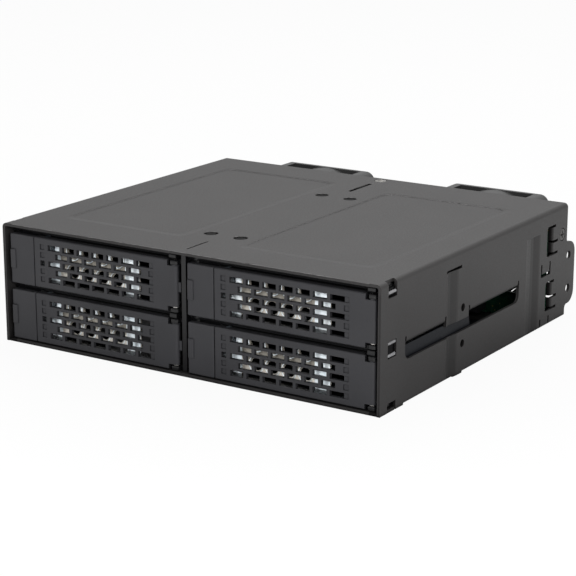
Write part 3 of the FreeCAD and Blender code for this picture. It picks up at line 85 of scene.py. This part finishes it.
class Surface:
    """A principled material whose textures read the object's own place, in metres."""

    def __init__(self, name, inputs=None):
        self.material = bpy.data.materials.new(name)
        self.material.use_nodes = True
        self.nodes = self.material.node_tree.nodes
        self.links = self.material.node_tree.links
        self.shader = self.nodes["Principled BSDF"]
        for socket, value in (inputs or {}).items():
            self.shader.inputs[socket].default_value = value
        self.place = self.nodes.new("ShaderNodeTexCoord").outputs["Object"]
        self.axes = self.nodes.new("ShaderNodeSeparateXYZ")
        self.join(self.place, self.axes.inputs["Vector"])

    def join(self, source, socket):
        self.links.new(source, socket)

    def stretched(self, scale):
        """The place with each axis multiplied by its own number."""
        mapping = self.nodes.new("ShaderNodeMapping")
        mapping.inputs["Scale"].default_value = scale
        self.join(self.place, mapping.inputs["Vector"])
        return mapping.outputs["Vector"]

    def noise(self, size, detail=2.0, rough=0.5, place=None):
        """Noise with features of about this size in metres."""
        node = self.nodes.new("ShaderNodeTexNoise")
        node.inputs["Scale"].default_value = 1 / size
        node.inputs["Detail"].default_value = detail
        node.inputs["Roughness"].default_value = rough
        self.join(place or self.place, node.inputs["Vector"])
        return node.outputs["Fac"]

    def cells(self, size, feature="F1"):
        node = self.nodes.new("ShaderNodeTexVoronoi")
        node.feature = feature
        node.inputs["Scale"].default_value = 1 / size
        self.join(self.place, node.inputs["Vector"])
        return node.outputs["Distance"]

    def spread(self, source, low, high, start=0.3, end=0.7):
        """The source's range from start to end, as numbers from low to high."""
        node = self.nodes.new("ShaderNodeMapRange")
        node.inputs["From Min"].default_value = start
        node.inputs["From Max"].default_value = end
        node.inputs["To Min"].default_value = low
        node.inputs["To Max"].default_value = high
        self.join(source, node.inputs["Value"])
        return node.outputs["Result"]

    def math(self, operation, source, other=0.0):
        """A sum of the source and another source or number."""
        node = self.nodes.new("ShaderNodeMath")
        node.operation = operation
        self.join(source, node.inputs[0])
        if isinstance(other, bpy.types.NodeSocket):
            self.join(other, node.inputs[1])
        else:
            node.inputs[1].default_value = other
        return node.outputs[0]

    def past(self, source, limit):
        """1 where the source is over the limit, else 0."""
        return self.math("GREATER_THAN", source, limit)

    def short_of(self, source, limit):
        """1 where the source is under the limit, else 0."""
        return self.math("LESS_THAN", source, limit)

    def both(self, *shares):
        """The shares multiplied together."""
        product = shares[0]
        for share in shares[1:]:
            product = self.math("MULTIPLY", product, share)
        return product

    def between(self, source, low, high):
        """1 where the source is between the two limits, else 0."""
        return self.both(self.past(source, low), self.short_of(source, high))

    def aside(self):
        """The distance from the middle plane, on either side."""
        return self.math("ABSOLUTE", self.axes.outputs["X"])

    def source_of(self, socket):
        """What a linked shader socket is fed with now."""
        return self.shader.inputs[socket].links[0].from_socket

    def blend(self, share, first, second):
        """One colour or source turning into another as the share goes from 0 to 1."""
        node = self.nodes.new("ShaderNodeMix")
        node.data_type = "RGBA"
        self.join(share, node.inputs["Factor"])
        for socket, value in ((node.inputs[6], first), (node.inputs[7], second)):
            if isinstance(value, bpy.types.NodeSocket):
                self.join(value, socket)
            else:
                socket.default_value = value
        return node.outputs[2]

    def colour(self, source):
        self.join(source, self.shader.inputs["Base Color"])

    def roughness(self, source):
        self.join(source, self.shader.inputs["Roughness"])

    def crevice(self, reach):
        """1 on open faces, less in gaps and hollows narrower than the reach."""
        node = self.nodes.new("ShaderNodeAmbientOcclusion")
        node.samples = 6
        node.inputs["Distance"].default_value = reach
        return node.outputs["AO"]

    def rounded(self, radius):
        """The normal of edges that catch the light as if rounded by this radius in metres."""
        node = self.nodes.new("ShaderNodeBevel")
        node.samples = 6
        node.inputs["Radius"].default_value = radius
        return node.outputs["Normal"]

    def soften(self, radius):
        self.join(self.rounded(radius), self.shader.inputs["Normal"])

    def panel_slopes(self):
        """0 in the roof's panels, 1 outside them, with a soft slope at their edges."""
        height = None
        for low, high in ROOF_PANELS:
            beyond = []
            for axis, near, far in (("X", low[0], high[0]), ("Y", low[1], high[1])):
                offset = self.math("SUBTRACT", self.axes.outputs[axis], (near + far) / 2)
                beyond.append(self.math("SUBTRACT", self.math("ABSOLUTE", offset), (far - near) / 2))
            edge = self.math("SMOOTH_MAX", beyond[0], beyond[1])
            edge.node.inputs[2].default_value = 6 * MM
            slope = self.spread(edge, 0, 1, -1.6 * MM, 1.6 * MM)
            slope.node.interpolation_type = "SMOOTHSTEP"
            height = self.math("MULTIPLY", height, slope) if height else slope
        return height

    def soft_roof(self, press, lit):
        """Gives the roof's panels slopes of this height, and their crisp edges the lit roof's colour."""
        upright = self.nodes.new("ShaderNodeCombineXYZ")
        upright.inputs["Z"].default_value = 1
        relief = self.nodes.new("ShaderNodeBump")
        relief.inputs["Distance"].default_value = press
        self.join(self.panel_slopes(), relief.inputs["Height"])
        self.join(upright.outputs["Vector"], relief.inputs["Normal"])
        on_roof = self.both(
            self.short_of(self.aside(), CORNER[0] - 4 * MM),
            self.past(self.axes.outputs["Z"], ROOF_FLOOR),
        )
        mix = self.nodes.new("ShaderNodeMix")
        mix.data_type = "VECTOR"
        self.join(on_roof, mix.inputs["Factor"])
        self.join(self.source_of("Normal"), mix.inputs[4])
        self.join(relief.outputs["Normal"], mix.inputs[5])
        self.join(mix.outputs[1], self.shader.inputs["Normal"])
        facing = self.nodes.new("ShaderNodeSeparateXYZ")
        geometry = self.nodes.new("ShaderNodeNewGeometry")
        self.join(geometry.outputs["True Normal"], facing.inputs["Vector"])
        # the step walls at the panels' crisp edges are painted in the lit roof's colour: painted light
        edge = self.both(on_roof, self.short_of(facing.outputs["Z"], 0.5))
        self.colour(self.blend(edge, self.source_of("Base Color"), lit))

    def bump(self, source, height):
        """Adds relief of this height in metres, over any relief already there."""
        node = self.nodes.new("ShaderNodeBump")
        node.inputs["Distance"].default_value = height
        self.join(source, node.inputs["Height"])
        normal = self.shader.inputs["Normal"]
        if normal.is_linked:
            self.join(self.source_of("Normal"), node.inputs["Normal"])
        self.join(node.outputs["Normal"], normal)


def darker(colour, share):
    return (*(part * share for part in colour[:3]), 1.0)


class Coat(Surface):
    """Sprayed coat: small soft lumps, a slight cloudiness, and grains that shine more than others."""

    def __init__(self, name, colour, grain=0.45 * MM):
        super().__init__(name)
        self.pigment = colour
        self.soften(0.22 * MM)
        cloud = self.noise(22 * MM, detail=3)
        self.speck = self.noise(grain, detail=3, rough=0.65)
        shade = self.blend(self.spread(cloud, 0, 1), darker(colour, 0.86), darker(colour, 1.12))
        self.grain_and_groove_shade = self.blend(self.spread(self.speck, 0, 0.4), shade, darker(colour, 1.55))

    def paint_hollow_shade(self, openness, specular):
        """Colours the coat with painted shade: darker and with less gloss where it is less open."""
        share = self.spread(openness, 0, 1, 0.3, 0.8)
        self.colour(self.blend(share, darker(self.pigment, 0.3), self.grain_and_groove_shade))
        gloss = self.shader.inputs["Specular IOR Level"]
        gloss.default_value = specular
        self.join(self.spread(openness, 0.02, specular, 0.3, 0.8), gloss)

    def grain(self, rough, relief):
        self.roughness(self.spread(self.speck, rough - 0.07, rough + 0.09))
        self.bump(self.speck, relief)
        return self.material


def powder_coat(name, colour, grain=0.45 * MM, relief=0.012 * MM, rough=0.5, specular=0.3, reach=3 * MM):
    """A coat with painted shade, darker in gaps narrower than the reach."""
    coat = Coat(name, colour, grain)
    coat.paint_hollow_shade(coat.crevice(reach), specular)
    return coat.grain(rough, relief)


def shell_coat(name, colour):
    """The shell's coat: painted shade in gaps, on the groove floors in the walls, on the walls' inner faces
    and their curled-in folds, with soft panels in the roof.
    """
    coat = Coat(name, colour)
    aside, along, height = coat.aside(), coat.axes.outputs["Y"], coat.axes.outputs["Z"]
    right, rear, top = CORNER
    walls = coat.short_of(height, top - 3 * MM)
    before_rear_wall = coat.short_of(along, rear - 11.5 * MM)
    # the groove floors in the walls are painted darker than the coat: painted shade
    painted_groove_shade = coat.both(coat.between(aside, right - 0.6 * MM, right - 0.1 * MM), walls)
    coat.grain_and_groove_shade = coat.blend(painted_groove_shade, coat.grain_and_groove_shade, darker(colour, 0.62))
    # the walls' inner faces, in front of the rear wall, are painted darker: painted shade
    inner = coat.between(aside, right - 4 * MM, right - 1.02 * MM)
    inner = coat.both(inner, before_rear_wall, walls)
    # each flap curled in from the rear windows of the walls is painted darker the further in it reaches:
    # painted shade
    curl = coat.spread(aside, 1.3, 0, right - 1.2 * MM, right - 0.03 * MM)
    flap_shade = coat.both(
        coat.past(along, rear - 25 * MM), curl, walls,
        coat.past(aside, right - 2.5 * MM), before_rear_wall,
    )
    # the painted shade of the inner faces and of the curled folds, taken off the openness below
    painted_inner_shade = coat.math("MAXIMUM", coat.math("MULTIPLY", inner, 0.45), flap_shade)
    openness = coat.math("MAXIMUM", coat.crevice(3 * MM), coat.past(height, ROOF_FLOOR))
    coat.paint_hollow_shade(coat.math("SUBTRACT", openness, painted_inner_shade), 0.3)
    coat.soft_roof(0.4 * MM, srgb(118, 117, 117))
    return coat.grain(0.42, 0.012 * MM)


def moulded(name, colour, rough=0.5, inputs=None):
    """Injection moulded plastic, with an eroded texture."""
    plastic = Surface(name, inputs)
    plastic.soften(0.15 * MM)
    cloud = plastic.noise(12 * MM)
    speck = plastic.noise(0.25 * MM, detail=4)
    plastic.colour(plastic.blend(plastic.spread(cloud, 0, 1), darker(colour, 0.85), darker(colour, 1.15)))
    plastic.roughness(plastic.spread(speck, rough - 0.08, rough + 0.08))
    plastic.bump(speck, 0.006 * MM)
    return plastic


def snapped(plastic, lip_highlight_colour):
    """Makes a plastic's snaps less glossy where they lie back in the walls' windows, and paints a highlight
    of this colour on their lips.
    """
    aside, right = plastic.aside(), CORNER[0]
    web = plastic.between(aside, right - 1.2 * MM, right - 0.5 * MM)
    gloss = plastic.shader.inputs["Specular IOR Level"]
    plastic.join(plastic.spread(web, 0.45, 0.03, 0, 1), gloss)
    # the lips are painted in a light colour: a painted highlight
    lip_highlight = plastic.between(aside, right - 0.5 * MM, right)
    plastic.colour(plastic.blend(lip_highlight, plastic.source_of("Base Color"), lip_highlight_colour))
    return plastic


def sheet_metal(name, colour, grain=(60, 4000, 4000), rough=0.38):
    """Bare rolled sheet: fine lines along one way, and cloudy patches of oxide."""
    sheet = Surface(name, {"Metallic": 1.0})
    lines = sheet.noise(1.0, detail=4, place=sheet.stretched(grain))
    cloud = sheet.noise(9 * MM, detail=4)
    sheet.colour(sheet.blend(sheet.spread(cloud, 0, 1), darker(colour, 0.8), darker(colour, 1.1)))
    sheet.roughness(sheet.spread(lines, rough - 0.1, rough + 0.12))
    sheet.bump(lines, 0.004 * MM)
    return sheet.material


def hemmed_plate(name, corner):
    """Bare sheet from this lowest corner, with light and shade painted in: bluish white hems in front,
    painted as lit, and behind them the land painted dim as shade, but brighter as lit in a strip at its
    foot.
    """
    sheet = Surface(name)
    lines = sheet.noise(1.0, detail=4, place=sheet.stretched((4000, 4000, 60)))
    cloud = sheet.noise(6 * MM, detail=4)
    inner = sheet.spread(sheet.axes.outputs["Y"], 0, 1, corner.y + 0.1 * MM, corner.y + 0.2 * MM)
    above = sheet.spread(sheet.axes.outputs["Z"], 0, 1, corner.z + 4.7 * MM, corner.z + 5.3 * MM)
    # the land's own bare metal tone, painted dim as shade above its foot and brighter as lit in the strip
    # at its foot
    shaded_land = sheet.blend(sheet.spread(cloud, 0, 1), srgb(128, 124, 116), srgb(176, 171, 161))
    lit_foot = sheet.blend(sheet.spread(cloud, 0, 1), srgb(205, 199, 190), srgb(236, 231, 222))
    land_light_and_shade = sheet.blend(above, lit_foot, shaded_land)
    # the hems are painted bluish white and left non-metallic, as if fully lit: painted light
    lit_hems = sheet.blend(sheet.spread(cloud, 0, 1), srgb(232, 243, 250), srgb(246, 252, 255))
    sheet.colour(sheet.blend(inner, lit_hems, land_light_and_shade))
    sheet.soften(0.2 * MM)
    sheet.join(sheet.spread(inner, 0.0, 0.25, 0, 1), sheet.shader.inputs["Metallic"])
    sheet.roughness(sheet.spread(lines, 0.25, 0.45))
    sheet.bump(lines, 0.004 * MM)
    return sheet.material


def circuit(name):
    """Solder mask over copper tracks, with bare vias."""
    # the solder mask's own green, darkened to near black: painted shade for the board deep in the cage
    mask = srgb(7, 34, 22)
    board = Surface(name, {"Coat Weight": 0.4, "Coat Roughness": 0.15})
    track = board.cells(3.2 * MM, "DISTANCE_TO_EDGE")
    tone = board.blend(board.spread(track, 0, 1, 0.05, 0.09), darker(mask, 1.5), mask)
    via = board.cells(2.1 * MM)
    board.colour(board.blend(board.spread(via, 1, 0, 0.12, 0.16), tone, srgb(112, 98, 62)))
    board.roughness(board.spread(board.noise(0.6 * MM), 0.28, 0.42))
    board.bump(board.spread(track, 1, 0, 0.05, 0.09), 0.02 * MM)
    return board.material


SHELL = shell_coat("shell_coat", srgb(34, 33, 33))
TRAY = powder_coat("tray_coat", srgb(13, 15, 19), rough=0.4, specular=0.14, reach=14 * MM)
DOOR = powder_coat("door_coat", srgb(38, 38, 40), grain=0.3 * MM, relief=0.008 * MM, rough=0.42)
# the bezel's snap lips get a painted highlight in srgb(104, 104, 106)
PLASTIC = snapped(moulded("black_plastic", srgb(8, 8, 9), rough=0.2), srgb(104, 104, 106)).material
FAN = moulded("fan_plastic", srgb(34, 34, 34), rough=0.4).material
STEEL = sheet_metal("plain_steel", srgb(200, 197, 192))
NICKEL = sheet_metal("nickel", srgb(150, 148, 144), grain=(900, 900, 900), rough=0.25)
# a darker copy of the nickel for the side screws: painted shade on the walls' screws
SHADED_NICKEL = sheet_metal("nickel_painted_shade", srgb(78, 77, 76), grain=(900, 900, 900), rough=0.3)
# the rivets are painted near black: painted shade for the dark dimples they sit in
RIVET_SHADE = powder_coat("rivet_painted_shade", srgb(12, 12, 12), rough=0.7, specular=0.08)
BLACK_SCREW = moulded("black_oxide", srgb(30, 30, 32), rough=0.35, inputs={"Metallic": 0.7}).material
BOARD = circuit("circuit_board")
CHIP = moulded("chip", srgb(30, 30, 32), rough=0.6).material
SOCKET = moulded("black_socket", srgb(20, 20, 22), rough=0.45).material
NATURAL = moulded("natural_nylon", srgb(214, 208, 190), rough=0.45).material
CLEAR = moulded("clear_plastic", srgb(84, 90, 96), rough=0.2, inputs={"Transmission Weight": 0.5}).material

FINISH = {
    "black_steel": SHELL,
    "tray_steel": TRAY,
    "door_black": DOOR,
    "black_plastic": PLASTIC,
    "fan_plastic": FAN,
    "bare_steel": STEEL,
    "nickel_screw": NICKEL,
    "black_screw": BLACK_SCREW,
    "circuit_board": BOARD,
    "chip_black": CHIP,
    "connector_black": SOCKET,
    "connector_white": NATURAL,
    "clear_plastic": CLEAR,
}


def paint(piece, material):
    piece.data.materials.clear()
    piece.data.materials.append(material)


for part in frame["record"]["subparts"]:
    paint(frame["nodes"][part["node"]], FINISH[part["material_slot"]])

# the rivets get the near-black painted shade
paint(frame["nodes"]["divider_rivets"], RIVET_SHADE)


# ---------------------------------------------------------------- pieces


def new_piece(name, mesh, material, body):
    """A mesh in the CAD's frame that rides on one of its bodies."""
    data = bpy.data.meshes.new(name)
    mesh.to_mesh(data)
    mesh.free()
    piece = bpy.data.objects.new(name, data)
    bpy.context.scene.collection.objects.link(piece)
    piece.data.materials.append(material)
    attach(piece, body)
    return piece


def rolled_ring(mesh, centre, radius, thick, steps=28, sides=8):
    """A small torus round the Y axis."""
    rings = []
    for step in range(steps):
        turn = Matrix.Rotation(math.tau * step / steps, 3, "Y")
        ring = []
        for side in range(sides):
            angle = math.tau * side / sides
            spoke = Vector((radius + thick * math.cos(angle), thick * math.sin(angle), 0))
            ring.append(mesh.verts.new(centre + turn @ spoke))
        rings.append(ring)
    for ring, after in zip(rings, rings[1:] + rings[:1]):
        for side in range(sides):
            other = (side + 1) % sides
            face = mesh.faces.new((ring[side], ring[other], after[other], after[side]))
            face.smooth = True


# holes of the vent plates: the first one from the plate's lowest corner, their pitches, and each row's rims
FIRST_HOLE = Vector((10.1, 0.3, 3.9)) * MM
HOLE_PITCH = Vector((6.1, 0, 7)) * MM
RIM_RADII = (2.7 * MM, 2.85 * MM)


def add_clipped(mesh, node, *planes):
    """Adds the CAD node's mesh, cut off and closed at each plane: a point on it and the way out."""
    part = bmesh.new()
    part.from_mesh(frame["nodes"][node].data)
    bmesh.ops.remove_doubles(part, verts=part.verts, dist=0.001 * MM)
    for spot, outward in planes:
        whole = part.verts[:] + part.edges[:] + part.faces[:]
        bmesh.ops.bisect_plane(part, geom=whole, plane_co=spot, plane_no=outward, clear_outer=True)
        bmesh.ops.holes_fill(part, edges=[line for line in part.edges if line.is_boundary])
    carrier = bpy.data.meshes.new("carrier")
    part.to_mesh(carrier)
    part.free()
    mesh.from_mesh(carrier)
    bpy.data.meshes.remove(carrier)


def vent_plate(tray, material):
    """The plate behind a grille: the CAD plate cut back below between its hems, its holes rimmed."""
    node = f"vent_plate_{tray}"
    low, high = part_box(node)
    # just inside each hem, and a hair apart, so that the three parts are closed and do not share faces
    left_hem, right_hem = Vector((low.x + 4.6 * MM, 0, 0)), Vector((high.x - 5.4 * MM, 0, 0))
    hair = Vector((0.01 * MM, 0, 0))
    foot = low + Vector((0, 0, 0.9 * MM))
    left, right, down = (-1, 0, 0), (1, 0, 0), (0, 0, -1)
    mesh = bmesh.new()
    add_clipped(mesh, node, (left_hem - hair, right))
    add_clipped(mesh, node, (left_hem, left), (right_hem, right), (foot, down))
    add_clipped(mesh, node, (right_hem + hair, left))
    for column in range(4):
        for row in range(2):
            spot = FIRST_HOLE + Vector((HOLE_PITCH.x * column, 0, HOLE_PITCH.z * row))
            rolled_ring(mesh, low + spot, RIM_RADII[row], 0.26 * MM)
    piece = new_piece(f"vent_shield_{tray}", mesh, material, f"tray_{tray}")
    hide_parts(node)


def cross_screw(mesh, centre, outward, radius, height, shank, length):
    """A screw with a rounded rim and a cross recess; centre is the middle of its top face."""
    turn = Vector(outward).to_track_quat("Z", "Y").to_matrix()

    def ring(size, level, count=32):
        spots = [
            Vector((size * math.cos(math.tau * i / count), size * math.sin(math.tau * i / count), level))
            for i in range(count)
        ]
        return [mesh.verts.new(centre + turn @ spot) for spot in spots]

    def cross(arm, half, level):
        quarter = [(arm, -half), (arm, half), (half, half)]
        corners = []
        for step in range(4):
            cosine, sine = ((1, 0), (0, 1), (-1, 0), (0, -1))[step]
            corners += [(x * cosine - y * sine, x * sine + y * cosine) for x, y in quarter]
        return [mesh.verts.new(centre + turn @ Vector((x, y, level))) for x, y in corners]

    def skin(first, second):
        for i in range(len(first)):
            j = (i + 1) % len(first)
            mesh.faces.new((first[i], first[j], second[j], second[i]))

    def outline(verts):
        return [mesh.edges.new((verts[i - 1], verts[i])) for i in range(len(verts))]

    rim = ring(radius * 0.8, 0)
    mouth = cross(radius * 0.62, radius * 0.17, 0)
    bmesh.ops.triangle_fill(mesh, use_beauty=True, edges=outline(rim) + outline(mouth))
    floor = cross(radius * 0.4, radius * 0.1, -height * 0.9)
    skin(mouth, floor)
    mesh.faces.new(floor)
    levels = [
        (radius * 0.93, -height * 0.1), (radius, -height * 0.4), (radius, -height),
        (shank, -height), (shank, -length),
    ]
    before = rim
    for size, level in levels:
        after = ring(size, level)
        skin(before, after)
        before = after
    mesh.faces.new(before)


def machine_screws():
    """The side screws and the roof screw, each from its CAD screw's box."""
    low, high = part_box("side_screws")
    middle = (low + high) / 2
    radius = (high.z - low.z) / 2
    mesh = bmesh.new()
    for side, x in ((1, high.x), (-1, low.x)):
        centre = Vector((x, middle.y, middle.z))
        cross_screw(mesh, centre, (side, 0, 0), radius, 0.55 * MM, 1.2 * MM, 2.9 * MM)
    bmesh.ops.recalc_face_normals(mesh, faces=mesh.faces)
    # the side screws take the darker copy of the nickel, a painted shade
    piece = new_piece("side_screw_heads", mesh, SHADED_NICKEL, "cage")
    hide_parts("side_screws")
    low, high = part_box("roof_screw")
    middle = (low + high) / 2
    mesh = bmesh.new()
    centre = Vector((middle.x, middle.y, high.z))
    cross_screw(mesh, centre, (0, 0, 1), (high.x - low.x) / 2, 0.45 * MM, 1.2 * MM, 2.9 * MM)
    bmesh.ops.recalc_face_normals(mesh, faces=mesh.faces)
    piece = new_piece("roof_screw_head", mesh, NICKEL, "cage")
    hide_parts("roof_screw")


# each row's vent plates share one material, with light and shade painted in
for row in ("upper", "lower"):
    zinc = hemmed_plate(f"vent_plate_{row}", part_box(f"vent_plate_{row}_left")[0])
    vent_plate(f"{row}_left", zinc)
    vent_plate(f"{row}_right", zinc)
machine_screws()


# ---------------------------------------------------------------- stage, light and camera


def pale_floor(near, far):
    """A floor that the camera sees white, and whose own tone goes from near to far away from the object: a
    painted shadow around the object, seen in its reflections and bounced light.
    """
    bpy.ops.mesh.primitive_plane_add(size=6, location=(0, 0, 0))
    floor = bpy.context.object
    floor.name = "floor"
    material = bpy.data.materials.new("floor")
    material.use_nodes = True
    nodes, links = material.node_tree.nodes, material.node_tree.links
    shader = nodes["Principled BSDF"]
    shader.inputs["Roughness"].default_value = 0.7
    half = (cad_box[1] - cad_box[0]) / 2
    mapping = nodes.new("ShaderNodeMapping")
    mapping.inputs["Scale"].default_value = (1 / half.x, 1 / half.y, 0)
    away = nodes.new("ShaderNodeVectorMath")
    away.operation = "LENGTH"
    # the floor's own tone is darker near the object: a painted shadow
    tone = nodes.new("ShaderNodeMapRange")
    tone.inputs["From Min"].default_value = 1.0
    tone.inputs["From Max"].default_value = 2.3
    tone.inputs["To Min"].default_value = near
    tone.inputs["To Max"].default_value = far
    links.new(nodes.new("ShaderNodeTexCoord").outputs["Object"], mapping.inputs["Vector"])
    links.new(mapping.outputs["Vector"], away.inputs[0])
    links.new(away.outputs["Value"], tone.inputs["Value"])
    links.new(tone.outputs["Result"], shader.inputs["Base Color"])
    glow = nodes.new("ShaderNodeEmission")
    path = nodes.new("ShaderNodeLightPath")
    share = nodes.new("ShaderNodeMath")
    share.operation = "MULTIPLY"
    share.inputs[1].default_value = 0.95
    mix = nodes.new("ShaderNodeMixShader")
    links.new(path.outputs["Is Camera Ray"], share.inputs[0])
    links.new(share.outputs[0], mix.inputs["Fac"])
    links.new(shader.outputs["BSDF"], mix.inputs[1])
    links.new(glow.outputs["Emission"], mix.inputs[2])
    links.new(mix.outputs["Shader"], nodes["Material Output"].inputs["Surface"])
    paint(floor, material)


def studio_world(fill, reflected):
    """White where the camera sees it, and dimmer in reflections and as fill light."""
    world = bpy.data.worlds.new("studio")
    bpy.context.scene.world = world
    world.use_nodes = True
    nodes, links = world.node_tree.nodes, world.node_tree.links
    background = nodes["Background"]
    background.inputs["Color"].default_value = (1, 1, 1, 1)
    path = nodes.new("ShaderNodeLightPath")
    strength = None
    for ray, level in (("Is Glossy Ray", reflected), ("Is Transmission Ray", 1.0), ("Is Camera Ray", 1.0)):
        step = nodes.new("ShaderNodeMapRange")
        step.inputs["To Min"].default_value = fill
        step.inputs["To Max"].default_value = level
        links.new(path.outputs[ray], step.inputs["Value"])
        if strength:
            links.new(strength, step.inputs["To Min"])
        strength = step.outputs["Result"]
    links.new(strength, background.inputs["Strength"])


def soft_lamp(name, place, target, size, power, mirrored=False):
    """An area lamp, seen in reflections only where it is mirrored."""
    lamp = bpy.data.lights.new(name, "AREA")
    lamp.shape = "RECTANGLE"
    lamp.size, lamp.size_y = size
    lamp.energy = power
    holder = bpy.data.objects.new(name, lamp)
    bpy.context.scene.collection.objects.link(holder)
    holder.visible_glossy = mirrored
    holder.location = place
    holder.rotation_euler = (Vector(target) - Vector(place)).to_track_quat("-Z", "Y").to_euler()


def photo_camera():
    """The photograph's camera: a long lens from the right of the front, a little above."""
    lens = bpy.data.cameras.new("camera")
    lens.sensor_width = 36
    lens.lens = 117
    holder = bpy.data.objects.new("camera", lens)
    bpy.context.scene.collection.objects.link(holder)
    turn = Matrix.Rotation(math.radians(32.98), 4, "Z")
    tilt = Matrix.Rotation(math.radians(90 - 15.45), 4, "X")
    place = Matrix.Translation(Vector((337.33, -527.05, 186.11)) * MM)
    holder.matrix_world = place @ turn @ tilt
    bpy.context.scene.camera = holder


bpy.context.scene.view_settings.view_transform = "Standard"
pale_floor(0.16, 0.6)
studio_world(0.1, 0.68)
soft_lamp("top_light", (0.05, 0.25, 0.9), (0, 0, 0.02), (1.1, 0.8), 12.5, mirrored=True)
soft_lamp("side_light", (0.48, -0.46, 0.25), (0.07, -0.04, 0.02), (0.3, 0.2), 4.1)
soft_lamp("front_light", (0.25, -1.05, 0.4), (0, 0, 0.02), (0.3, 0.25), 9.6)
photo_camera()
